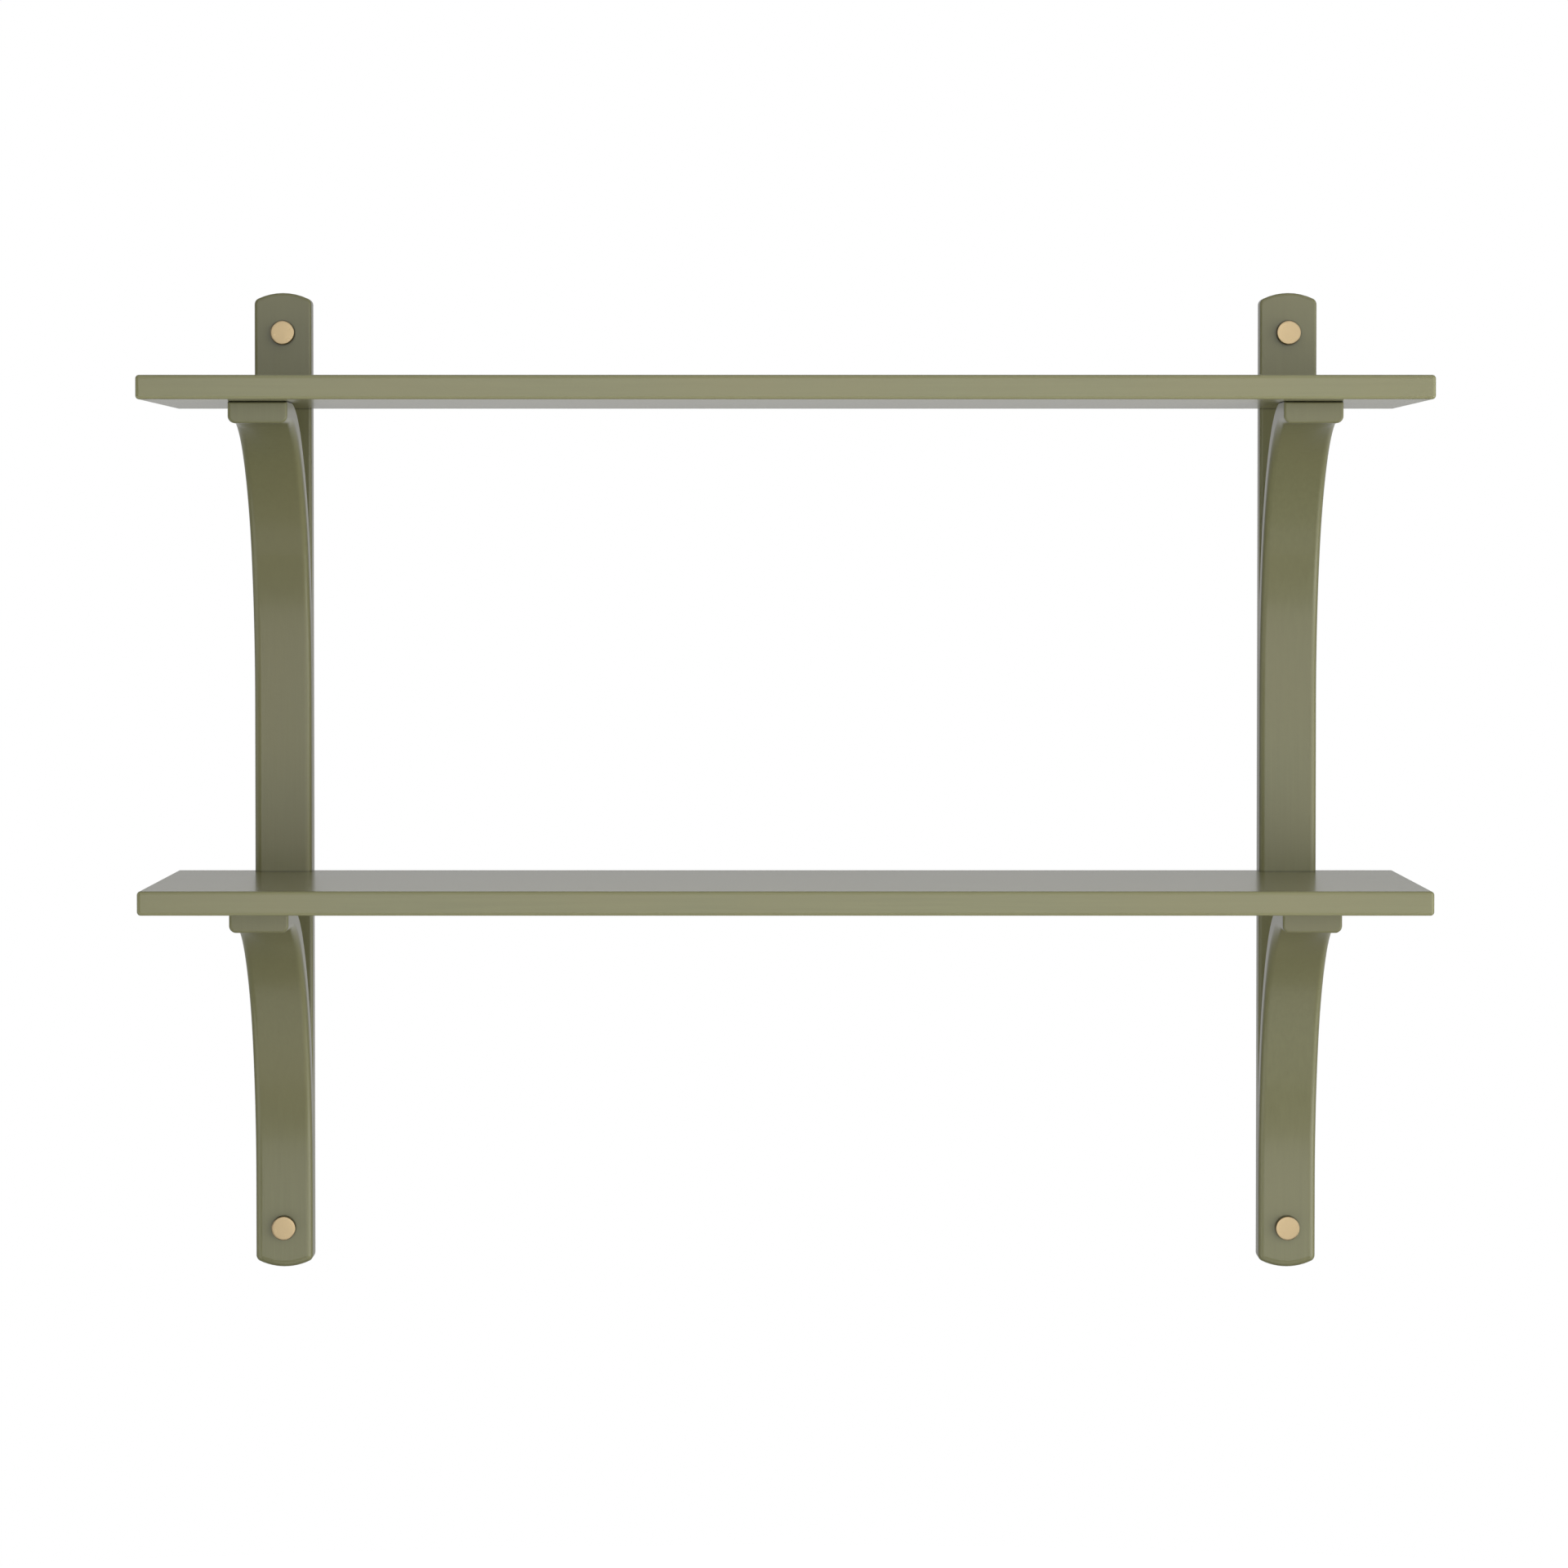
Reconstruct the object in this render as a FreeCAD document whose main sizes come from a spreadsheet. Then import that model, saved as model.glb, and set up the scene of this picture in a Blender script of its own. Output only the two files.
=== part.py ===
import FreeCAD
import Part
import Sketcher
import math
import os

# Wall shelf: two thin boards on two bent-wood brackets.
#
# Each bracket is a straight upright that lies flat on the wall, with two bent arms glued to its
# front. An arm is one bent strip: a straight leg against the upright, four bends of falling
# radius, and a short level tip that carries a board. Each upright is held by two wall screws,
# whose heads are tapped for the threaded stems of flat brass caps.
#
# Millimetres. +Z is up, +X runs along the boards, the wall is the plane Y = 0 and the room is on
# the -Y side. The origin is the centre of the four wall screws, on the wall.

DIMENSIONS = [
    # alias, value in millimetres or degrees, what it is
    ("shelf_length", 850, "board, end to end"),
    ("shelf_depth", 200, "board, front to back"),
    ("shelf_thickness", 16, "board, top to bottom"),
    ("shelf_edge_round", 2.5, "rounding of all the edges of a board"),
    ("shelf_wall_gap", 6, "from the wall to the back edge of a board"),
    ("upper_shelf_top", 275, "height of the upper board's top face"),
    ("lower_shelf_top", -63, "height of the lower board's top face"),
    ("notch_clearance", 0.4, "gap round an upright where a board is notched"),
    ("bracket_spacing", 699, "centre to centre of the two uprights"),
    ("bracket_width", 39.5, "width of an upright and of an arm"),
    ("upright_thickness", 15, "upright, off the wall"),
    ("upright_length", 678.5, "upright, end to end"),
    ("end_dome_radius", 40, "arc across each end of an upright"),
    ("end_corner_round", 4.5, "rounding where the end arc meets the sides"),
    ("upright_front_round", 2, "rounding of an upright's front edges"),
    ("upright_back_round", 0.8, "rounding of an upright's back edges"),
    ("arm_thickness", 14.5, "bent strip of an arm"),
    ("leg_thickness", 6, "straight leg of an arm, off the upright"),
    ("arm_reach", 168, "from the wall to the tip of an arm"),
    ("arm_front_round", 4.7, "rounding of an arm's front edges"),
    ("arm_back_round", 1, "rounding of an arm's back edges"),
    ("arm_tip_round", 1.8, "rounding round the end face of an arm"),
    ("first_bend_radius", 280, "front face of an arm, bend next to the leg"),
    ("first_bend_angle", 21, "turn of the first bend"),
    ("second_bend_radius", 160, "front face, second bend"),
    ("second_bend_angle", 28, "turn of the second bend"),
    ("third_bend_radius", 105, "front face, third bend"),
    ("third_bend_angle", 25, "turn of the third bend"),
    ("last_bend_radius", 59, "front face, bend next to the tip"),
    ("wall_screw_inset", 27.75, "wall screw, from the end of an upright"),
    ("wall_thread_diameter", 6, "threaded end of a wall screw, behind the upright"),
    ("wall_shank_diameter", 5.6, "its plain shank, inside the wood"),
    ("wall_screw_reach", 40, "from the wall plane to its point"),
    ("wall_screw_taper", 9, "length of its point"),
    ("wall_head_diameter", 11, "its countersunk head"),
    ("wall_hole_diameter", 6.6, "hole for it through the wood"),
    ("cap_stem_diameter", 4, "threaded stem of a cap, in the tapped screw head"),
    ("cap_stem_length", 5, "length of the stem"),
    ("cap_diameter", 16.6, "brass cap over a wall screw"),
    ("cap_thickness", 4.6, "cap, proud of the wood"),
    ("cap_undercut", 1.2, "bevel round the back of a cap, which leaves a shadow line"),
    ("cap_edge_round", 0.6, "rounding of the cap's front edge"),
    ("shelf_screw_diameter", 3.5, "shank of a shelf screw, and its holes"),
    ("shelf_screw_length", 24, "shelf screw, head to point"),
    ("shelf_screw_taper", 4, "length of its point"),
    ("shelf_head_diameter", 7, "its countersunk head"),
    ("shelf_screw_inset", 14, "shelf screw, from the tip of the arm"),
    ("shelf_screw_spacing", 20, "between the two shelf screws of one arm"),
    ("socket_radius", 1.45, "corners of a shelf screw's hexagon socket"),
    ("socket_depth", 1.6, "depth of that socket"),
    ("screw_point_radius", 0.3, "blunt end of every screw point"),
]

SIDES = (("left", -1), ("right", 1))
ORIGIN, HORIZONTAL_AXIS, VERTICAL_AXIS = -1, -1, -2  # a sketch's own geometry numbers
START, END, CENTRE = 1, 2, 3  # point numbers of a sketch curve
TINY = 1e-6
NEAR = 1e-3  # how close a point has to be to a face to count as on it


class Size:
    """A number and the sheet expression that gives it, so that features stay tied to the sheet."""

    def __init__(self, value, text):
        self.value = value
        self.text = text

    def __add__(self, other):
        other = as_size(other)
        return Size(self.value + other.value, f"({self.text} + {other.text})")

    def __sub__(self, other):
        other = as_size(other)
        return Size(self.value - other.value, f"({self.text} - {other.text})")

    def __mul__(self, other):
        other = as_size(other)
        return Size(self.value * other.value, f"({self.text} * {other.text})")

    def __truediv__(self, other):
        other = as_size(other)
        return Size(self.value / other.value, f"({self.text} / {other.text})")

    def __neg__(self):
        return Size(-self.value, f"(0 - {self.text})")


def as_size(thing):
    return thing if isinstance(thing, Size) else Size(float(thing), str(thing))


doc = FreeCAD.newDocument("wall_shelf")
sheet = doc.addObject("Spreadsheet::Sheet", "dims")
for row, (alias, value, note) in enumerate(DIMENSIONS, start=1):
    sheet.set(f"A{row}", alias)
    sheet.set(f"B{row}", str(value))
    sheet.set(f"C{row}", note)
    sheet.setAlias(f"B{row}", alias)
doc.recompute()
dim = {alias: Size(float(sheet.get(alias)), f"dims.{alias}") for alias, _, _ in DIMENSIONS}

zero = as_size(0)
slack = as_size(1)  # how far a cutting outline runs past the wood that it cuts
half_width = dim["bracket_width"] / 2
half_spacing = dim["bracket_spacing"] / 2
half_upright = dim["upright_length"] / 2
leg_front = dim["upright_thickness"] + dim["leg_thickness"]
screw_height = half_upright - dim["wall_screw_inset"]
shelf_screw_front = dim["arm_reach"] - dim["shelf_screw_inset"]
shelf_tops = {"upper": dim["upper_shelf_top"], "lower": dim["lower_shelf_top"]}
board_under = {tier: top - dim["shelf_thickness"] for tier, top in shelf_tops.items()}
# An upper arm's leg stands on the lower board; a lower arm's leg ends with the upright.
leg_drop = {
    "upper": board_under["upper"] - dim["lower_shelf_top"],
    "lower": board_under["lower"] + half_upright,
}


# ---------------------------------------------------------------- sketches

def new_body(label, x=zero, y=zero, z=zero):
    body = doc.addObject("PartDesign::Body", label)
    body.Label = label
    for axis, size in zip("xyz", (x, y, z)):
        body.setExpression(f"Placement.Base.{axis}", size.text)
    return body


def new_sketch(body, name, plane, lift=zero):
    """A sketch on an origin plane of the body, moved along the plane's normal by lift."""
    sketch = body.newObject("Sketcher::SketchObject", name)
    support = next(item for item in body.Origin.OriginFeatures if item.Role == plane)
    sketch.AttachmentSupport = [(support, "")]
    sketch.MapMode = "FlatFace"
    sketch.setExpression("AttachmentOffset.Base.z", lift.text)
    return sketch


def constrain(sketch, size, kind, *where):
    """Adds a dimension to the sketch and ties it to the sheet."""
    value = math.radians(size.value) if kind == "Angle" else size.value
    index = sketch.addConstraint(Sketcher.Constraint(kind, *where, value))
    sketch.setExpression(f"Constraints[{index}]", size.text)


def pin(sketch, curve, point, x=None, y=None):
    """Fixes a point's distance from the sketch's axes, in X, in Y or in both."""
    for kind, axis, size in (("DistanceX", VERTICAL_AXIS, x), ("DistanceY", HORIZONTAL_AXIS, y)):
        if size is None:
            continue
        if abs(size.value) < TINY:
            sketch.addConstraint(Sketcher.Constraint("PointOnObject", curve, point, axis))
        elif size.value > 0:
            constrain(sketch, size, kind, ORIGIN, START, curve, point)
        else:
            constrain(sketch, -size, kind, curve, point, ORIGIN, START)


def vector(x, y):
    return FreeCAD.Vector(x.value, y.value, 0)


def draw_polygon(sketch, corners):
    """A closed outline of straight lines with every corner pinned."""
    following = corners[1:] + corners[:1]
    lines = []
    for (x, y), (next_x, next_y) in zip(corners, following):
        lines.append(sketch.addGeometry(Part.LineSegment(vector(x, y), vector(next_x, next_y))))
    for line, next_line in zip(lines, lines[1:] + lines[:1]):
        sketch.addConstraint(Sketcher.Constraint("Coincident", line, END, next_line, START))
    for line, (x, y) in zip(lines, corners):
        pin(sketch, line, START, x, y)


def draw_rectangle(sketch, left, right, bottom, top):
    draw_polygon(sketch, [(left, bottom), (right, bottom), (right, top), (left, top)])


def draw_circle(sketch, x, y, diameter):
    circle = Part.Circle(vector(x, y), FreeCAD.Vector(0, 0, 1), diameter.value / 2)
    curve = sketch.addGeometry(circle)
    constrain(sketch, diameter, "Diameter", curve)
    pin(sketch, curve, CENTRE, x, y)


def add_arc(sketch, centre, radius, start_degrees, end_degrees):
    circle = Part.Circle(centre, FreeCAD.Vector(0, 0, 1), radius)
    return sketch.addGeometry(
        Part.ArcOfCircle(circle, math.radians(start_degrees), math.radians(end_degrees)))


# ---------------------------------------------------------------- features

def pad(body, sketch, length, symmetric=False, reverse=False):
    feature = body.newObject("PartDesign::Pad", "Pad")
    feature.Profile = sketch
    feature.setExpression("Length", length.text)
    feature.Midplane = symmetric
    feature.Reversed = reverse
    doc.recompute()
    return feature


def pocket(body, sketch, depth=None, reverse=False, symmetric=False):
    """Cuts the sketch into the body, right through unless a depth is given."""
    before = body.Shape.Volume
    feature = body.newObject("PartDesign::Pocket", "Pocket")
    feature.Profile = sketch
    feature.Midplane = symmetric
    feature.Reversed = reverse
    if depth is None:
        feature.Type = "ThroughAll"
    else:
        feature.setExpression("Length", depth.text)
    doc.recompute()
    if body.Shape.Volume > before - TINY:
        raise RuntimeError(f"{body.Label}: {feature.Name} cuts nothing")
    return feature


def revolve(body, sketch):
    """Turns a half section about the sketch's vertical axis."""
    feature = body.newObject("PartDesign::Revolution", "Revolution")
    feature.Profile = sketch
    feature.ReferenceAxis = (sketch, ["V_Axis"])
    feature.Angle = 360
    doc.recompute()
    return feature


def pick_edges(body, wanted):
    """Names of the edges of the body's latest feature that the test wants."""
    edges = enumerate(body.Tip.Shape.Edges, start=1)
    names = [f"Edge{number}" for number, edge in edges if not edge.Degenerated and wanted(edge)]
    if not names:
        raise RuntimeError(f"{body.Label}: no edge to round or bevel")
    return names


def soften(body, kind, wanted, size_name, size):
    """Adds a fillet or a chamfer to the edges that the test wants."""
    base = body.Tip
    names = pick_edges(body, wanted)
    feature = body.newObject(f"PartDesign::{kind}", kind)
    feature.Base = (base, names)
    feature.setExpression(size_name, size.text)
    doc.recompute()
    return feature


def fillet(body, wanted, radius):
    return soften(body, "Fillet", wanted, "Radius", radius)


def countersink(body, wanted, hole, head):
    return soften(body, "Chamfer", wanted, "Size", (head - hole) / 2)


def ends_at(edge, axis, value):
    """True where both ends and the middle of the edge lie on the plane axis = value."""
    middle = edge.valueAt((edge.FirstParameter + edge.LastParameter) / 2)
    points = [vertex.Point for vertex in edge.Vertexes] + [middle]
    return all(abs(getattr(point, axis) - value) < NEAR for point in points)


def circle_at(edge, axis, value, diameter):
    """True for a full circle of that diameter on the plane axis = value."""
    full_circle = edge.Closed and isinstance(edge.Curve, Part.Circle)
    return full_circle and abs(edge.Curve.Radius * 2 - diameter) < NEAR and ends_at(edge, axis, value)


# ---------------------------------------------------------------- the wooden pieces

def make_board(tier):
    """A board: a rounded slab, notched behind for the uprights, with blind screw holes below."""
    body = new_body(f"{tier}_shelf_board", z=shelf_tops[tier])
    back = -dim["shelf_wall_gap"]
    front = back - dim["shelf_depth"]
    half_length = dim["shelf_length"] / 2
    outline = new_sketch(body, "Outline", "XY_Plane")
    draw_rectangle(outline, -half_length, half_length, front, back)
    pad(body, outline, dim["shelf_thickness"], reverse=True)
    fillet(body, lambda edge: True, dim["shelf_edge_round"])

    notches = new_sketch(body, "Notches", "XY_Plane", slack)
    holes = new_sketch(body, "ScrewHoles", "XY_Plane", -dim["shelf_thickness"])
    notch_half = half_width + dim["notch_clearance"]
    notch_floor = -(dim["upright_thickness"] + dim["notch_clearance"])
    for _, side in SIDES:
        middle = half_spacing * side
        draw_rectangle(notches, middle - notch_half, middle + notch_half, notch_floor, slack)
        for step in (-1, 1):
            x = middle + dim["shelf_screw_spacing"] * step / 2
            draw_circle(holes, x, -shelf_screw_front, dim["shelf_screw_diameter"])
    pocket(body, notches)
    pocket(body, holes, dim["shelf_screw_length"] - dim["arm_thickness"], reverse=True)
    return body


def draw_upright_outline(sketch):
    """Straight sides and an arc across each end."""
    radius = dim["end_dome_radius"]
    centre_height = half_upright - radius
    spread = math.degrees(math.asin(half_width.value / radius.value))
    shoulder = centre_height.value + radius.value * math.cos(math.radians(spread))
    corner = FreeCAD.Vector(half_width.value, shoulder, 0)
    mirrored = FreeCAD.Vector(-corner.x, corner.y, 0)
    right = sketch.addGeometry(Part.LineSegment(-mirrored, corner))
    top = add_arc(sketch, vector(zero, centre_height), radius.value, 90 - spread, 90 + spread)
    left = sketch.addGeometry(Part.LineSegment(mirrored, -corner))
    bottom = add_arc(sketch, vector(zero, -centre_height), radius.value, 270 - spread, 270 + spread)
    curves = [right, top, left, bottom]
    for curve, next_curve in zip(curves, curves[1:] + curves[:1]):
        sketch.addConstraint(Sketcher.Constraint("Coincident", curve, END, next_curve, START))
    for line, x in ((right, half_width), (left, -half_width)):
        sketch.addConstraint(Sketcher.Constraint("Vertical", line))
        pin(sketch, line, START, x=x)
    for arc, height in ((top, centre_height), (bottom, -centre_height)):
        constrain(sketch, radius, "Radius", arc)
        pin(sketch, arc, CENTRE, zero, height)


def make_upright(side_name, side):
    """A straight rail with domed ends; its upper hole is countersunk, its lower one is plain."""
    body = new_body(f"{side_name}_upright", x=half_spacing * side)
    outline = new_sketch(body, "Outline", "XZ_Plane")
    draw_upright_outline(outline)
    pad(body, outline, dim["upright_thickness"])
    front = -dim["upright_thickness"].value

    def is_corner(edge):
        across = abs(edge.tangentAt(edge.FirstParameter).y) > 1 - TINY
        return across

    fillet(body, is_corner, dim["end_corner_round"])
    fillet(body, lambda edge: ends_at(edge, "y", front), dim["upright_front_round"])
    fillet(body, lambda edge: ends_at(edge, "y", 0), dim["upright_back_round"])

    hole = dim["wall_hole_diameter"]
    holes = new_sketch(body, "WallHoles", "XZ_Plane")
    for height in (screw_height, -screw_height):
        draw_circle(holes, zero, height, hole)
    pocket(body, holes, symmetric=True)

    def is_upper_rim(edge):
        rim = circle_at(edge, "y", front, hole.value)
        return rim and edge.Curve.Center.z > 0

    countersink(body, is_upper_rim, hole, dim["wall_head_diameter"])
    return body


def draw_arm_outline(sketch, drop):
    """Side view of an arm: sketch X is -(distance from the wall), sketch Y is height below the
    board. The four bends of the front face and of the back face are concentric pairs."""
    radii = [dim[f"{name}_bend_radius"] for name in ("first", "second", "third", "last")]
    angles = [dim[f"{name}_bend_angle"] for name in ("first", "second", "third")]
    thickness = dim["arm_thickness"].value
    turns = [0]
    for angle in angles:
        turns.append(turns[-1] + angle.value)
    turns.append(90)

    # Each bend's centre lies on the radius where it meets the bend before, and the last bend
    # ends level, at the thickness of the strip below the board.
    directions = [FreeCAD.Vector(math.cos(math.radians(turn)), math.sin(math.radians(turn)), 0)
                  for turn in turns]
    steps = [direction * (before.value - after.value)
             for direction, before, after in zip(directions[1:], radii, radii[1:])]
    rise = sum(step.y for step in steps) + radii[-1].value
    centre = FreeCAD.Vector(-leg_front.value - radii[0].value, -thickness - rise, 0)
    centres = [centre]
    for step in steps:
        centres.append(centres[-1] + step)

    bend_start = FreeCAD.Vector(-leg_front.value, centre.y, 0)
    bend_end = FreeCAD.Vector(centres[-1].x, -thickness, 0)
    back_radius = radii[0].value + thickness
    leg_back = -dim["upright_thickness"].value
    parting = math.degrees(math.acos((leg_back - centre.x) / back_radius))
    apex = FreeCAD.Vector(leg_back, centre.y + back_radius * math.sin(math.radians(parting)), 0)
    tip_x = -dim["arm_reach"].value
    foot_y = -drop.value

    def line(start, end):
        return sketch.addGeometry(Part.LineSegment(start, end))

    leg = line(FreeCAD.Vector(bend_start.x, foot_y, 0), bend_start)
    front = [add_arc(sketch, middle, radius.value, start, end)
             for middle, radius, start, end in zip(centres, radii, turns, turns[1:])]
    tip_under = line(bend_end, FreeCAD.Vector(tip_x, -thickness, 0))
    tip_end = line(FreeCAD.Vector(tip_x, -thickness, 0), FreeCAD.Vector(tip_x, 0, 0))
    tip_top = line(FreeCAD.Vector(tip_x, 0, 0), FreeCAD.Vector(bend_end.x, 0, 0))
    back_starts = [parting] + turns[1:-1]
    back = [add_arc(sketch, middle, radius.value + thickness, start, end)
            for middle, radius, start, end in zip(centres, radii, back_starts, turns[1:])]
    glue_face = line(apex, FreeCAD.Vector(leg_back, foot_y, 0))
    foot = line(FreeCAD.Vector(leg_back, foot_y, 0), FreeCAD.Vector(bend_start.x, foot_y, 0))

    smooth = [leg] + front + [tip_under]
    for curve, next_curve in zip(smooth, smooth[1:]):
        sketch.addConstraint(Sketcher.Constraint("Tangent", curve, END, next_curve, START))
    sketch.addConstraint(Sketcher.Constraint("Tangent", tip_top, END, back[-1], END))
    for curve, next_curve in zip(back, back[1:]):
        sketch.addConstraint(Sketcher.Constraint("Tangent", curve, END, next_curve, START))
    joints = [(tip_under, END, tip_end, START), (tip_end, END, tip_top, START),
              (back[0], START, glue_face, START), (glue_face, END, foot, START),
              (foot, END, leg, START)]
    for joint in joints:
        sketch.addConstraint(Sketcher.Constraint("Coincident", *joint))
    for front_arc, back_arc in zip(front, back):
        sketch.addConstraint(Sketcher.Constraint("Coincident", front_arc, CENTRE, back_arc, CENTRE))
    for upright_line in (leg, tip_end, glue_face):
        sketch.addConstraint(Sketcher.Constraint("Vertical", upright_line))
    for level_line in (tip_under, tip_top, foot):
        sketch.addConstraint(Sketcher.Constraint("Horizontal", level_line))

    for arc, radius in zip(front, radii):
        constrain(sketch, radius, "Radius", arc)
    for arc, angle in zip(front, angles):
        constrain(sketch, angle, "Angle", arc)
    pin(sketch, leg, START, -leg_front, -drop)
    pin(sketch, tip_end, START, -dim["arm_reach"], -dim["arm_thickness"])
    pin(sketch, tip_top, START, y=zero)
    pin(sketch, glue_face, END, x=-dim["upright_thickness"])


def draw_end_cut(sketch, drop):
    """All that lies below the arc across the lower end of a leg."""
    radius = dim["end_dome_radius"]
    centre_height = radius - drop
    side = half_width + slack
    floor = -(drop + slack)
    spread = math.degrees(math.asin(side.value / radius.value))
    shoulder = centre_height.value - radius.value * math.cos(math.radians(spread))
    dome = add_arc(sketch, vector(zero, centre_height), radius.value, 270 - spread, 270 + spread)
    corners = [FreeCAD.Vector(side.value, shoulder, 0), vector(side, floor),
               vector(-side, floor), FreeCAD.Vector(-side.value, shoulder, 0)]
    lines = [sketch.addGeometry(Part.LineSegment(start, end))
             for start, end in zip(corners, corners[1:])]
    curves = [dome] + lines
    for curve, next_curve in zip(curves, curves[1:] + curves[:1]):
        sketch.addConstraint(Sketcher.Constraint("Coincident", curve, END, next_curve, START))
    constrain(sketch, radius, "Radius", dome)
    pin(sketch, dome, CENTRE, zero, centre_height)
    pin(sketch, lines[1], START, side, floor)
    pin(sketch, lines[1], END, -side, floor)
    sketch.addConstraint(Sketcher.Constraint("Vertical", lines[0]))
    sketch.addConstraint(Sketcher.Constraint("Vertical", lines[2]))


def make_arm(tier, side_name, side):
    """A bent strip; its frame is the wall plane at the underside of the board that it carries."""
    drop = leg_drop[tier]
    body = new_body(f"{side_name}_{tier}_arm", x=half_spacing * side, z=board_under[tier])
    outline = new_sketch(body, "SideView", "YZ_Plane")
    draw_arm_outline(outline, drop)
    pad(body, outline, dim["bracket_width"], symmetric=True)
    thickness = dim["arm_thickness"].value
    front_radii = [dim[f"{name}_bend_radius"].value for name in ("first", "second", "third", "last")]
    back_radii = [radius + thickness for radius in front_radii]
    leg_face = -leg_front.value

    def follows(edge, radii, level, upright):
        """An edge of a side face that belongs to the front or to the back of the strip."""
        if not (ends_at(edge, "x", half_width.value) or ends_at(edge, "x", -half_width.value)):
            return False
        if isinstance(edge.Curve, Part.Circle):
            return any(abs(edge.Curve.Radius - radius) < NEAR for radius in radii)
        return ends_at(edge, "z", level) or (upright is not None and ends_at(edge, "y", upright))

    if tier == "lower":
        end_cut = new_sketch(body, "EndCut", "XZ_Plane")
        draw_end_cut(end_cut, drop)
        pocket(body, end_cut, symmetric=True)
        below = -drop.value + dim["end_dome_radius"].value / 2

        def is_foot_corner(edge):
            across = abs(edge.tangentAt(edge.FirstParameter).y) > 1 - TINY
            return across and edge.CenterOfMass.z < below

        fillet(body, is_foot_corner, dim["end_corner_round"])

    def is_front(edge):
        across_foot = tier == "lower" and ends_at(edge, "y", leg_face)
        return across_foot or follows(edge, front_radii, -thickness, leg_face)

    fillet(body, is_front, dim["arm_front_round"])
    fillet(body, lambda edge: follows(edge, back_radii, 0, None), dim["arm_back_round"])
    fillet(body, lambda edge: ends_at(edge, "y", -dim["arm_reach"].value), dim["arm_tip_round"])

    shelf_hole = dim["shelf_screw_diameter"]
    shelf_holes = new_sketch(body, "ShelfScrewHoles", "XY_Plane")
    for step in (-1, 1):
        x = dim["shelf_screw_spacing"] * step / 2
        draw_circle(shelf_holes, x, -shelf_screw_front, shelf_hole)
    pocket(body, shelf_holes)
    countersink(body, lambda edge: circle_at(edge, "z", -thickness, shelf_hole.value),
                shelf_hole, dim["shelf_head_diameter"])

    if tier == "lower":
        wall_hole = dim["wall_hole_diameter"]
        wall_holes = new_sketch(body, "WallHole", "XZ_Plane")
        draw_circle(wall_holes, zero, dim["wall_screw_inset"] - drop, wall_hole)
        pocket(body, wall_holes, symmetric=True)
        countersink(body, lambda edge: circle_at(edge, "y", leg_face, wall_hole.value),
                    wall_hole, dim["wall_head_diameter"])
    return body


# ---------------------------------------------------------------- the metal pieces

def make_wall_fixing(tier, side_name, side):
    """A wall screw with a tapped head, and the brass cap whose stem screws into it."""
    seat = dim["upright_thickness"] if tier == "upper" else leg_front
    place = (half_spacing * side, -seat, screw_height if tier == "upper" else -screw_height)

    screw = new_body(f"{side_name}_{tier}_wall_screw", *place)
    shank = dim["wall_shank_diameter"] / 2
    thread = dim["wall_thread_diameter"] / 2
    head = dim["wall_head_diameter"] / 2
    stem = dim["cap_stem_diameter"] / 2
    stem_length = dim["cap_stem_length"]
    length = seat + dim["wall_screw_reach"]
    section = new_sketch(screw, "HalfSection", "XY_Plane")
    draw_polygon(section, [
        (stem, zero), (head, zero), (shank, head - shank), (shank, seat), (thread, seat),
        (thread, length - dim["wall_screw_taper"]), (dim["screw_point_radius"], length),
        (zero, length), (zero, stem_length), (stem, stem_length)])
    revolve(screw, section)

    cap = new_body(f"{side_name}_{tier}_cap", *place)
    rim = dim["cap_diameter"] / 2
    undercut = dim["cap_undercut"]
    face = -dim["cap_thickness"]
    section = new_sketch(cap, "HalfSection", "XY_Plane")
    draw_polygon(section, [
        (zero, face), (rim, face), (rim, -undercut), (rim - undercut, zero), (stem, zero),
        (stem, stem_length), (zero, stem_length)])
    revolve(cap, section)
    fillet(cap, lambda edge: ends_at(edge, "y", face.value), dim["cap_edge_round"])
    return [screw, cap]


def make_shelf_screw(tier, side_name, side, step_name, step):
    """A countersunk screw with a hexagon socket, up through an arm's tip into the board."""
    x = half_spacing * side + dim["shelf_screw_spacing"] * step / 2
    z = board_under[tier] - dim["arm_thickness"]
    body = new_body(f"{side_name}_{tier}_shelf_screw_{step_name}", x, -shelf_screw_front, z)
    shank = dim["shelf_screw_diameter"] / 2
    head = dim["shelf_head_diameter"] / 2
    length = dim["shelf_screw_length"]
    section = new_sketch(body, "HalfSection", "XZ_Plane")
    draw_polygon(section, [
        (zero, zero), (head, zero), (shank, head - shank),
        (shank, length - dim["shelf_screw_taper"]), (dim["screw_point_radius"], length),
        (zero, length)])
    revolve(body, section)
    before = body.Shape.Volume
    socket = body.newObject("PartDesign::SubtractivePrism", "Socket")
    socket.Polygon = 6
    socket.setExpression("Circumradius", dim["socket_radius"].text)
    socket.setExpression("Height", dim["socket_depth"].text)
    doc.recompute()
    if body.Shape.Volume > before - TINY:
        raise RuntimeError(f"{body.Label}: the socket cuts nothing")
    return body


# ---------------------------------------------------------------- the whole shelf

pieces = [make_board(tier) for tier in shelf_tops]
for side_name, side in SIDES:
    pieces.append(make_upright(side_name, side))
    for tier in shelf_tops:
        pieces.append(make_arm(tier, side_name, side))
        pieces += make_wall_fixing(tier, side_name, side)
        for step_name, step in SIDES:
            pieces.append(make_shelf_screw(tier, side_name, side, step_name, step))
doc.recompute()

for item in doc.Objects:
    if "Invalid" in item.State or "Error" in item.State:
        raise RuntimeError(f"{item.Name} failed: {item.State}")
for sketch in doc.findObjects("Sketcher::SketchObject"):
    if sketch.solve() != 0 or not sketch.FullyConstrained:
        raise RuntimeError(f"{sketch.Name} is not fully constrained")

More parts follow.
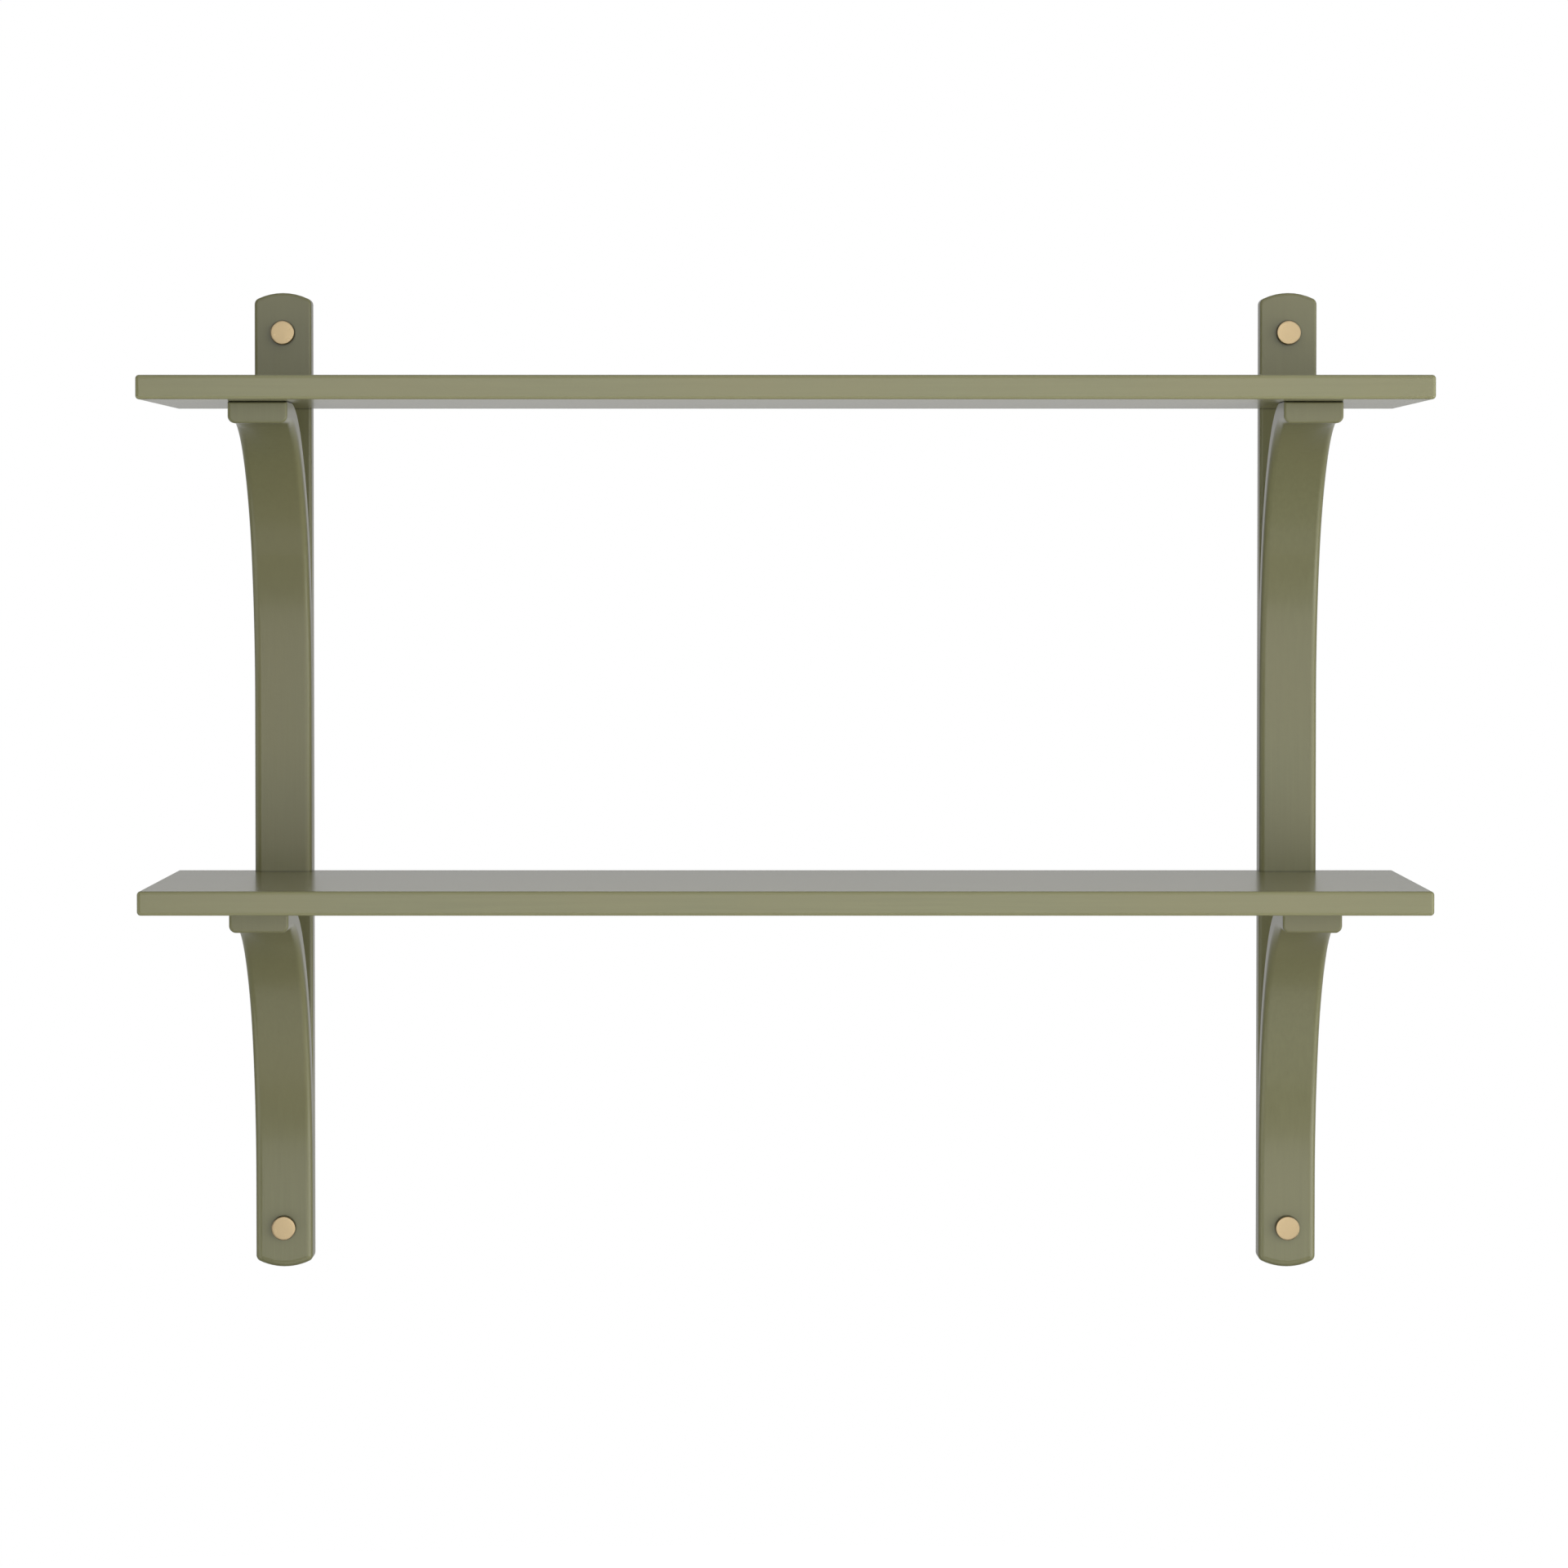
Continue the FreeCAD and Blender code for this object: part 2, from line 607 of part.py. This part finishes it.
os.makedirs("parts", exist_ok=True)
for piece in pieces:
    shape = piece.Shape
    if shape.isNull() or not shape.isValid() or len(shape.Solids) != 1:
        raise RuntimeError(f"{piece.Label} is not one valid solid")
    shape.exportStep(f"parts/{piece.Label}.step")
    box = shape.optimalBoundingBox(False)
    print(f"{piece.Label:32s} {shape.Volume / 1000:9.2f} cm3  "
          f"{box.XLength:7.2f} x {box.YLength:7.2f} x {box.ZLength:7.2f} mm")
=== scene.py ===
import math

import bmesh
import bpy
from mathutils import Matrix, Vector


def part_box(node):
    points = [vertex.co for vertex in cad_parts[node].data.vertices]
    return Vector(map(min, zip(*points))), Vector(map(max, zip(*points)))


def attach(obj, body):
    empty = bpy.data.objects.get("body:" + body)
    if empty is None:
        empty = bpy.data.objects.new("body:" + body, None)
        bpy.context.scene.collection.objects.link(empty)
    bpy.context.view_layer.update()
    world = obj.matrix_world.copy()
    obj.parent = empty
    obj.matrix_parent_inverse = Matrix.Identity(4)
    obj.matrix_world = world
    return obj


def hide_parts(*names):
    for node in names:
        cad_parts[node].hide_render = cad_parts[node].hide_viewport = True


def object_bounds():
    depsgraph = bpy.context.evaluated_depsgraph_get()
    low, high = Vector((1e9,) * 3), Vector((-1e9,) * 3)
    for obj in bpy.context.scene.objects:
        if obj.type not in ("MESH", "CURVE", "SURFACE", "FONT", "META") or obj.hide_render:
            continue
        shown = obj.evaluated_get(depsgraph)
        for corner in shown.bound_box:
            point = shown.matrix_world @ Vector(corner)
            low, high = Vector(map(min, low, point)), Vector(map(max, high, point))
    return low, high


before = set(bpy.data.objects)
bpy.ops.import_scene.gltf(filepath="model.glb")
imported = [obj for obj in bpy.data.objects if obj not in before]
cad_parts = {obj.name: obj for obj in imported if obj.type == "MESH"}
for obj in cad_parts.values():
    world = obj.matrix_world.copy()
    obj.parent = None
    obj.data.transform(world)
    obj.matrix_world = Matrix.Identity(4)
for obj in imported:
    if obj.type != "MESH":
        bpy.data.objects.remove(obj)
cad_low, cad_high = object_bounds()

# A two-tier wall shelf. The boards, uprights and arms keep their CAD meshes and get a lacquer. The
# plain screws and caps of the CAD are replaced by detailed ones. A studio stands around them.
# Metres, in the CAD frame: the wall is the plane Y = 0 and the room is on the -Y side.

MM = 0.001
X, Y, Z = 0, 1, 2

# ---------------------------------------------------------------- camera

CAMERA_DISTANCE = 3.1441     # from the wall plane
CAMERA_HEIGHT = 0.1602       # above the middle of the uprights
CAMERA_PITCH_DOWN = 1.2606   # degrees
FOCAL_LENGTH = 103.21        # millimetres
SENSOR_WIDTH = 36            # millimetres
SHIFT_X = -0.0010
SHIFT_Y = -0.0858            # lets the camera stay nearly level, so the uprights look parallel


def make_camera():
    data = bpy.data.cameras.new("camera")
    data.sensor_width = SENSOR_WIDTH
    data.lens = FOCAL_LENGTH
    data.shift_x = SHIFT_X
    data.shift_y = SHIFT_Y
    data.clip_end = 100
    camera = bpy.data.objects.new("camera", data)
    camera.location = (0, -CAMERA_DISTANCE, CAMERA_HEIGHT)
    camera.rotation_euler = (math.radians(90 - CAMERA_PITCH_DOWN), 0, 0)
    bpy.context.scene.collection.objects.link(camera)
    bpy.context.scene.camera = camera


# ---------------------------------------------------------------- node trees

# The sockets of the mix node that it uses for colours
MIX_FACTOR = 0
MIX_LOW = 6
MIX_HIGH = 7
MIX_RESULT = 2

NOISE_ROUGHNESS = 0.55
EVEN = (1, 1, 1)

OCCLUSION_SAMPLES = 6
SHUT = 0.35      # up to this, the occlusion node's value counts as a tight corner
OPEN = 0.8       # and from this on as an open surface


class Nodes:
    """A short way to write a node tree."""

    def __init__(self, tree):
        self.tree = tree

    def node(self, kind, **inputs):
        """A new node with its inputs, by their names with _ for a space."""
        node = self.tree.nodes.new(kind)
        for socket, value in inputs.items():
            self.feed(node, socket.replace("_", " "), value)
        return node

    def feed(self, node, socket, value):
        """Gives an input a value, or links it to another node's output."""
        if isinstance(value, bpy.types.NodeSocket):
            self.tree.links.new(value, node.inputs[socket])
        else:
            node.inputs[socket].default_value = value

    def combine(self, operation, first, second):
        node = self.tree.nodes.new("ShaderNodeMath")
        node.operation = operation
        self.feed(node, 0, first)
        self.feed(node, 1, second)
        return node.outputs["Value"]

    def add(self, first, second):
        return self.combine("ADD", first, second)

    def multiply(self, first, second):
        return self.combine("MULTIPLY", first, second)

    def ramp(self, value, low, high, from_low=0.0, from_high=1.0):
        """Maps from_low..from_high to low..high, and keeps to that range outside it."""
        node = self.node("ShaderNodeMapRange", Value=value, From_Min=from_low, From_Max=from_high,
                         To_Min=low, To_Max=high)
        return node.outputs["Result"]


class Shader(Nodes):
    """A new material, and the patterns that it can be made of."""

    def __init__(self, name):
        self.material = bpy.data.materials.new(name)
        self.material.use_nodes = True
        super().__init__(self.material.node_tree)
        self.surface = self.tree.nodes["Principled BSDF"]

    def noise(self, stretch, scale, detail):
        """Noise in object space, with stretch * scale features per metre on each axis."""
        place = self.node("ShaderNodeTexCoord").outputs["Object"]
        mapping = self.node("ShaderNodeMapping", Vector=place, Scale=stretch)
        noise = self.node("ShaderNodeTexNoise", Vector=mapping.outputs["Vector"], Scale=scale,
                          Detail=detail, Roughness=NOISE_ROUGHNESS)
        return noise.outputs["Fac"]

    def blend(self, factor, low, high):
        """A colour between low and high."""
        node = self.tree.nodes.new("ShaderNodeMix")
        node.data_type = "RGBA"
        self.feed(node, MIX_FACTOR, factor)
        self.feed(node, MIX_LOW, low)
        self.feed(node, MIX_HIGH, high)
        return node.outputs[MIX_RESULT]

    def openness(self, reach):
        """1 on open surfaces, falling to 0 in a corner that something shuts within reach."""
        node = self.node("ShaderNodeAmbientOcclusion", Distance=reach)
        node.samples = OCCLUSION_SAMPLES
        return self.ramp(node.outputs["AO"], 0, 1, SHUT, OPEN)

    def edges(self, axis):
        """1 where the surface is at 45 degrees to an axis, as on a rounded edge, 0 at 0 or 90."""
        normal = self.node("ShaderNodeTexCoord").outputs["Normal"]
        split = self.node("ShaderNodeSeparateXYZ", Vector=normal)
        square = self.multiply(split.outputs[axis], split.outputs[axis])
        return self.multiply(self.multiply(square, 4), self.add(self.multiply(square, -1), 1))

    def bump(self, height, depth, strength, below=None):
        """A surface roughened by a pattern, on top of the bump that lies below it."""
        node = self.node("ShaderNodeBump", Height=height, Distance=depth, Strength=strength)
        if below is not None:
            self.feed(node, "Normal", below)
        return node.outputs["Normal"]


def shade(colour, factor=1):
    """A colour times a factor, with the alpha that a socket wants."""
    return tuple(channel * factor for channel in colour) + (1.0,)


def stretched(axis, share):
    """A noise's stretch that draws it out along one axis."""
    return tuple(share if step == axis else 1 for step in (X, Y, Z))


# ---------------------------------------------------------------- lacquer

# One lacquer twice: the boards' copy is painted 1.2 times as light, as painted light, so that the
# brackets look more shaded than the boards
BRACKET_LACQUER = (0.262, 0.258, 0.134)
BOARD_LACQUER_PAINTED_LIGHTER = (0.314, 0.309, 0.162)

# Tones, as factors of the lacquer's colour
DARK_GRAIN = 0.955
PALE_GRAIN = 1.035
WARM_CLOUD = (1.05, 1.0, 0.97)
# painted highlight: the paler tone of the rounded edges, for the light that they catch
EDGE_HIGHLIGHT_TONE = 1.5
# painted shade: the dark tone of tight corners, for the shadow that falls in them
CORNER_SHADE_TONE = 0.12

# How much of its tone a cloud takes on, and how much of the painted highlight an edge takes on
CLOUDINESS = 0.8
EDGE_HIGHLIGHT_SHARE = 0.5

# The part of each noise's values that is spread over its tones
GRAIN_RANGE = (0.3, 0.7)
CLOUD_RANGE = (0.35, 0.7)

# Noise scales, in features per metre, and the share of them that is left along the wood
GRAIN_SCALE = 330
GRAIN_STRETCH = 0.035
PORE_SCALE = 1500
PORE_STRETCH = 0.012
CLOUD_SCALE = 7
PEEL_SCALE = 750         # the orange peel of a sprayed coat

# What the grain and the pores add to the roughness
GRAIN_ROUGHNESS = 0.08
PORE_ROUGHNESS = (-0.01, 0.02)

# Depth and strength of each bump
PORE_BUMP = (0.04 * MM, 0.3)
GRAIN_BUMP = (0.15 * MM, 0.5)
PEEL_BUMP = (0.04 * MM, 0.5)


def make_lacquer(name, along, faces, lacquer, gloss, corner):
    """Satin olive lacquer. The wood's grain runs along one axis and telegraphs faintly through.

    The edges round the faces are painted paler, as a painted highlight, and tight corners are
    painted dark, as painted shade.
    """
    shader = Shader(name)
    grain = shader.noise(stretched(along, GRAIN_STRETCH), GRAIN_SCALE, detail=5)
    pores = shader.noise(stretched(along, PORE_STRETCH), PORE_SCALE, detail=3)
    clouds = shader.noise(EVEN, CLOUD_SCALE, detail=2)
    peel = shader.noise(EVEN, PEEL_SCALE, detail=1)

    tone = shader.blend(shader.ramp(grain, 0, 1, *GRAIN_RANGE), shade(lacquer, DARK_GRAIN),
                        shade(lacquer, PALE_GRAIN))
    warm = tuple(channel * factor for channel, factor in zip(lacquer, WARM_CLOUD))
    mottled = shader.blend(shader.ramp(clouds, 0, CLOUDINESS, *CLOUD_RANGE), tone, shade(warm))
    # painted highlight on the rounded edges
    edge_highlight = shader.multiply(shader.edges(faces), EDGE_HIGHLIGHT_SHARE)
    highlighted = shader.blend(edge_highlight, mottled, shade(lacquer, EDGE_HIGHLIGHT_TONE))
    # painted shade in tight corners, where the parts meet
    corner_shaded = shader.blend(shader.openness(corner), shade(lacquer, CORNER_SHADE_TONE), highlighted)
    shader.feed(shader.surface, "Base Color", corner_shaded)

    roughness = shader.add(shader.ramp(grain, gloss, gloss + GRAIN_ROUGHNESS),
                           shader.ramp(pores, *PORE_ROUGHNESS))
    shader.feed(shader.surface, "Roughness", roughness)
    pored = shader.bump(pores, *PORE_BUMP)
    grained = shader.bump(grain, *GRAIN_BUMP, below=pored)
    shader.feed(shader.surface, "Normal", shader.bump(peel, *PEEL_BUMP, below=grained))
    shader.surface.inputs["Coat Weight"].default_value = 0.2
    shader.surface.inputs["Coat Roughness"].default_value = 0.12
    return shader.material


# ---------------------------------------------------------------- metals

BRASS = (0.57, 0.435, 0.248)
PALE_BRASS = (0.59, 0.458, 0.272)
# painted shade: the dark brown of the cap's rim behind its face, for the dark ring of shadow round a
# cap
RIM_SHADE_BRASS = (0.20, 0.145, 0.075)
RIM_SHADE_BEGINS = 0.6 * MM          # behind the cap's face
RIM_SHADE_FULL = 1.2 * MM
TURNING_PITCH = 0.4 * MM
TURNING_BUMP = (0.03 * MM, 0.35)   # depth and strength
TURNING_ROUGHNESS = (0.25, 0.37)
BRASS_CLOUD_SCALE = 210
BRASS_CLOUD_ROUGHNESS = (-0.04, 0.04)


def make_brass(node):
    """Turned brass: fine rings about the middle of one cap, over a cloudy satin tone.

    Its rim, from just behind the face, is painted dark brown: painted shade for the dark ring of
    shadow round a cap.
    """
    low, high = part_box(node)
    shader = Shader(node + "_brass")
    surface = shader.surface
    surface.inputs["Metallic"].default_value = 1.0
    place = shader.node("ShaderNodeTexCoord").outputs["Object"]
    about = shader.node("ShaderNodeMapping", Vector=place, Location=-(low + high) / 2)
    flat = shader.node("ShaderNodeMapping", Vector=about.outputs["Vector"], Scale=(1, 0, 1))
    radius = shader.node("ShaderNodeVectorMath")
    radius.operation = "LENGTH"
    shader.feed(radius, "Vector", flat.outputs["Vector"])
    turning = shader.node("ShaderNodeTexNoise", Scale=1 / TURNING_PITCH, Detail=3)
    turning.noise_dimensions = "1D"
    shader.feed(turning, "W", radius.outputs["Value"])
    rings = turning.outputs["Fac"]
    clouds = shader.noise(EVEN, BRASS_CLOUD_SCALE, detail=3)

    tone = shader.blend(clouds, shade(BRASS), shade(PALE_BRASS))
    depth = shader.node("ShaderNodeSeparateXYZ", Vector=place).outputs["Y"]
    # painted shade: the rim darkens from just behind the face
    rim_shade = shader.ramp(depth, 0, 1, low.y + RIM_SHADE_BEGINS, low.y + RIM_SHADE_FULL)
    shader.feed(surface, "Base Color", shader.blend(rim_shade, tone, shade(RIM_SHADE_BRASS)))
    roughness = shader.add(shader.ramp(rings, *TURNING_ROUGHNESS),
                           shader.ramp(clouds, *BRASS_CLOUD_ROUGHNESS))
    shader.feed(surface, "Roughness", roughness)
    shader.feed(surface, "Normal", shader.bump(rings, *TURNING_BUMP))
    return shader.material


STEEL = (0.60, 0.60, 0.57)
SPANGLE_SCALE = 420
SPANGLE_TONES = (0.85, 1.1)        # factors of the steel's colour
SPANGLE_ROUGHNESS = (0.22, 0.42)
SPANGLE_BUMP = (0.05 * MM, 0.3)    # depth and strength


def make_steel():
    """Zinc-plated steel."""
    shader = Shader("zinc_steel")
    surface = shader.surface
    surface.inputs["Metallic"].default_value = 1.0
    spangle = shader.noise(EVEN, SPANGLE_SCALE, detail=4)
    dark, pale = SPANGLE_TONES
    shader.feed(surface, "Base Color", shader.blend(spangle, shade(STEEL, dark), shade(STEEL, pale)))
    shader.feed(surface, "Roughness", shader.ramp(spangle, *SPANGLE_ROUGHNESS))
    shader.feed(surface, "Normal", shader.bump(spangle, *SPANGLE_BUMP))
    return shader.material


# ---------------------------------------------------------------- turned and threaded pieces

# The outline of one turn of a thread: shares of its pitch, and of its depth there
THREAD_FORM = ((0.0, 0), (0.28, 0), (0.46, 1), (0.54, 1), (0.72, 0), (1.0, 0))
SHARP_EDGE = math.radians(32)
MERGE = 0.001 * MM
CLEARANCE = 0.04 * MM  # between a head or a thread and the faceted hole that it sits in
SCREW_SEGMENTS = 36
CAP_SEGMENTS = 96
ROUND_STEPS = 5
CROWN_RINGS = (0.08, 0.3, 0.5, 0.7, 0.88)  # shares of the radius of a cap's face


class Lathe:
    """Builds one closed mesh, ring by ring, about an axis through the middle of a node's box."""

    def __init__(self, node, axis, segments):
        low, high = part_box(node)
        beside = (axis + 1) % 3
        self.node = node
        self.start = low[axis]
        self.end = high[axis]
        self.radius = (high[beside] - low[beside]) / 2
        self.segments = segments
        self.mesh = bmesh.new()
        self.last = None
        self.along = Vector([float(step == axis) for step in (X, Y, Z)])
        self.first_spoke = Vector([float(step == beside) for step in (X, Y, Z)])
        self.second_spoke = self.along.cross(self.first_spoke)
        middle = (low + high) / 2
        self.centre = middle - self.along * middle[axis]

    def point(self, radius, height, turn):
        """A vertex at a radius, a height along the axis and a share of a full turn."""
        angle = turn * math.tau
        spoke = self.first_spoke * math.cos(angle) + self.second_spoke * math.sin(angle)
        return self.mesh.verts.new(self.centre + self.along * height + spoke * radius)

    def ring(self, radius, height, corners=None):
        """The next ring: a circle, or a polygon whose corners are at the radius."""
        ring = []
        for step in range(self.segments):
            turn = step / self.segments
            reach = radius
            if corners:
                from_flat = (turn * corners % 1 - 0.5) * math.tau / corners
                reach = radius * math.cos(math.pi / corners) / math.cos(from_flat)
            ring.append(self.point(reach, height, turn))
        if self.last is None:
            self.mesh.faces.new(ring)
        else:
            for step in range(self.segments):
                after = (step + 1) % self.segments
                self.mesh.faces.new((self.last[step], self.last[after], ring[after], ring[step]))
        self.last = ring

    def rings(self, profile):
        for radius, height in profile:
            self.ring(radius, height)

    def thread(self, core, crest, pitch, start, taper, point):
        """A right-handed thread from start to a point at the box's end.

        It grows over its first turn, and over the taper it shrinks to the point's radius.
        """
        turns = math.ceil((self.end - start) / pitch) + 1
        columns = []
        for step in range(turns * self.segments + 1):
            turn = step / self.segments
            column = []
            for share, depth in THREAD_FORM:
                height = start + pitch * (turn + share - 1)
                height = min(max(height, start), self.end)
                left = min((self.end - height) / taper, 1)
                body = point + (core - point) * left
                grown = min((height - start) / pitch, left, 1)
                column.append(self.point(body + (crest - core) * depth * grown, height, turn))
            columns.append(column)
        for first, second in zip(columns, columns[1:]):
            for row in range(len(THREAD_FORM) - 1):
                self.mesh.faces.new((first[row], second[row], second[row + 1], first[row + 1]))
        self.last = None
        self.ring(point, self.end)

    def close(self, material, slot):
        """Makes the object, which stands for the CAD node and rides where it did."""
        bmesh.ops.remove_doubles(self.mesh, verts=self.mesh.verts, dist=MERGE)
        bmesh.ops.recalc_face_normals(self.mesh, faces=self.mesh.faces)
        data = bpy.data.meshes.new(self.node + "_detail")
        self.mesh.to_mesh(data)
        self.mesh.free()
        data.shade_smooth()
        data.set_sharp_from_angle(angle=SHARP_EDGE)
        data.materials.append(material)
        piece = bpy.data.objects.new(data.name, data)
        bpy.context.scene.collection.objects.link(piece)
        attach(piece, "root")
        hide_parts(self.node)


def countersunk(head, shank, front, rim):
    """Rings of a head that narrows at 45 degrees to its shank, with its sharp rim cut off."""
    return ((head - 2 * rim, front), (head - rim, front + rim), (shank, front + head - shank))


def turned_edge(radius, height, rounding):
    """Rings of the quarter round from a front face at a height out to a side at a radius."""
    for step in range(ROUND_STEPS + 1):
        angle = math.radians(90 * step / ROUND_STEPS)
        yield (radius - rounding * (1 - math.sin(angle)), height + rounding * (1 - math.cos(angle)))


def make_wall_screw(node, steel):
    """Countersunk, with a tapped head for the cap; threaded from the wall plane on."""
    lathe = Lathe(node, Y, SCREW_SEGMENTS)
    front = lathe.start
    head = lathe.radius - CLEARANCE
    bore = 2.02 * MM
    bore_depth = 5 * MM
    bore_chamfer = 0.3 * MM
    shank = 2.8 * MM
    shank_end = -0.8 * MM
    core = 2.1 * MM
    lathe.rings(((bore, front + bore_depth), (bore, front + bore_chamfer),
                 (bore + bore_chamfer, front)))
    lathe.rings(countersunk(head, shank, front, rim=0.2 * MM))
    lathe.rings(((shank, shank_end), (core, 0)))
    lathe.thread(core, crest=3 * MM, pitch=2.6 * MM, start=0, taper=9 * MM, point=0.3 * MM)
    lathe.close(steel, "zinc_steel")


def make_shelf_screw(node, steel):
    """Countersunk, with a hexagon socket and a short plain neck before the thread."""
    lathe = Lathe(node, Z, SCREW_SEGMENTS)
    under = lathe.start
    head = lathe.radius - CLEARANCE
    socket = 1.45 * MM
    socket_depth = 1.5 * MM
    socket_mouth = socket * 1.1
    socket_chamfer = 0.1 * MM
    drill_tip = socket * 0.5
    drill_depth = 1.75 * MM
    shank = 1.7 * MM
    core = 1.15 * MM
    crest = 1.75 * MM - CLEARANCE
    thread_start = under + 7 * MM
    neck_end = thread_start - 0.5 * MM
    lathe.ring(drill_tip, under + drill_depth)
    lathe.ring(socket, under + socket_depth, corners=6)
    lathe.ring(socket, under + socket_chamfer, corners=6)
    lathe.ring(socket_mouth, under, corners=6)
    lathe.rings(countersunk(head, shank, under, rim=0.15 * MM))
    lathe.rings(((shank, neck_end), (core, thread_start)))
    lathe.thread(core, crest, pitch=1.8 * MM, start=thread_start, taper=4 * MM, point=0.2 * MM)
    lathe.close(steel, "zinc_steel")


def make_cap(node, brass):
    """A turned brass disc, faintly crowned, on a threaded stem in the screw's head."""
    lathe = Lathe(node, Y, CAP_SEGMENTS)
    stem_length = 5 * MM
    wood = lathe.end - stem_length
    undercut = 1.2 * MM
    crown = 0.06 * MM
    rounding = 0.55 * MM
    flat = lathe.radius - rounding
    root = 2.2 * MM
    core = 1.6 * MM
    thread_start = wood + 0.4 * MM
    for share in CROWN_RINGS:
        lathe.ring(flat * share, lathe.start + crown * share ** 2)
    lathe.rings(turned_edge(lathe.radius, lathe.start + crown, rounding))
    lathe.rings(((lathe.radius, wood - undercut), (lathe.radius - undercut, wood),
                 (root, wood), (core, thread_start)))
    lathe.thread(core, crest=2 * MM, pitch=0.7 * MM, start=thread_start, taper=0.6 * MM,
                 point=1.3 * MM)
    lathe.close(brass, "brass")


def paint(node, material):
    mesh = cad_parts[node].data
    mesh.materials.clear()
    mesh.materials.append(material)


def finish_nodes():
    """Lacquers the wood, and replaces the plain screws and caps by detailed ones."""
    boards = make_lacquer("board_lacquer", X, Y, BOARD_LACQUER_PAINTED_LIGHTER, gloss=0.20, corner=1.6 * MM)
    uprights = make_lacquer("upright_lacquer", Z, Y, BRACKET_LACQUER, gloss=0.25, corner=2.2 * MM)
    arms = make_lacquer("arm_lacquer", Z, X, BRACKET_LACQUER, gloss=0.25, corner=1.6 * MM)
    steel = make_steel()
    for node in sorted(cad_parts):
        if node.endswith("board"):
            paint(node, boards)
        elif node.endswith("upright"):
            paint(node, uprights)
        elif node.endswith("arm"):
            paint(node, arms)
        elif node.endswith("wall_screw"):
            make_wall_screw(node, steel)
        elif node.endswith("cap"):
            make_cap(node, make_brass(node))
        else:
            make_shelf_screw(node, steel)


# ---------------------------------------------------------------- studio

BACKGROUND = 1.0
WALL_GLOW = 0.61     # light that a pale wall would send back onto the shelf
GLOW_SPREAD = 2.0    # the power with which it fades away from straight behind

FLOOR_DROP = 2.2     # from the shelf's lowest point
FLOOR_RADIUS = 9
FLOOR_COLOUR = (0.82, 0.82, 0.81)

# Square lamps: where each stands as seen from the front, in degrees to the right and above, how
# far from the shelf's middle it is, how wide it is, and how many watts it gives.
SOFTBOXES = {
    "front": (0, -5, 2.4, 1.8, 14.5),
    "right": (54, 0, 2.4, 2.6, 29),
    "above": (4, 46, 1.4, 1.8, 5.6),
    "below": (0, -60, 2.4, 1.8, 6.5),
    "lower_right": (70, -30, 2.4, 1.8, 7.5),
    "lower_left": (-60, -28, 2.4, 1.8, 8),
    "left": (-88, 8, 2.4, 1.8, 5.5),
}


def make_world():
    """White to the camera. The shelf itself only gets the glow of the wall behind it."""
    world = bpy.data.worlds.new("studio")
    world.use_nodes = True
    nodes = Nodes(world.node_tree)
    sky = nodes.tree.nodes["Background"]
    place = nodes.node("ShaderNodeTexCoord").outputs["Generated"]
    split = nodes.node("ShaderNodeSeparateXYZ", Vector=place)
    behind = nodes.combine("MAXIMUM", split.outputs["Y"], 0)
    glow = nodes.ramp(nodes.combine("POWER", behind, GLOW_SPREAD), 0, WALL_GLOW)
    seen = nodes.node("ShaderNodeLightPath").outputs["Is Camera Ray"]
    choice = nodes.node("ShaderNodeMix", Factor=seen, A=glow, B=BACKGROUND)
    nodes.feed(sky, "Strength", choice.outputs["Result"])
    sky.inputs["Color"].default_value = shade((1, 1, 1))
    bpy.context.scene.world = world


def make_floor():
    """A wide white floor that only the camera sees, so that it adds no light of its own."""
    bpy.ops.mesh.primitive_circle_add(vertices=96, radius=FLOOR_RADIUS, fill_type="NGON",
                                      location=(0, 0, cad_low.z - FLOOR_DROP))
    floor = bpy.context.object
    floor.name = "floor"
    shader = Shader("floor")
    shader.surface.inputs["Base Color"].default_value = shade(FLOOR_COLOUR)
    shader.surface.inputs["Roughness"].default_value = 0.9
    shader.surface.inputs["Emission Color"].default_value = shade((1, 1, 1))
    shader.surface.inputs["Emission Strength"].default_value = 1.0
    floor.data.materials.append(shader.material)
    floor.visible_diffuse = False
    floor.visible_glossy = False
    floor.visible_shadow = False


def add_softbox(name, right, above, distance, size, watts):
    """A square lamp that faces the middle of the shelf."""
    across = math.radians(right)
    up = math.radians(above)
    towards = Vector((math.sin(across) * math.cos(up), -math.cos(across) * math.cos(up),
                      math.sin(up)))
    data = bpy.data.lights.new(name, "AREA")
    data.shape = "SQUARE"
    data.size = size
    data.energy = watts
    light = bpy.data.objects.new(name, data)
    light.location = towards * distance
    light.rotation_euler = (-towards).to_track_quat("-Z", "Y").to_euler()
    bpy.context.scene.collection.objects.link(light)


bpy.context.scene.view_settings.view_transform = "Standard"
make_camera()
make_world()
make_floor()
for softbox, stand in SOFTBOXES.items():
    add_softbox(softbox, *stand)
finish_nodes()
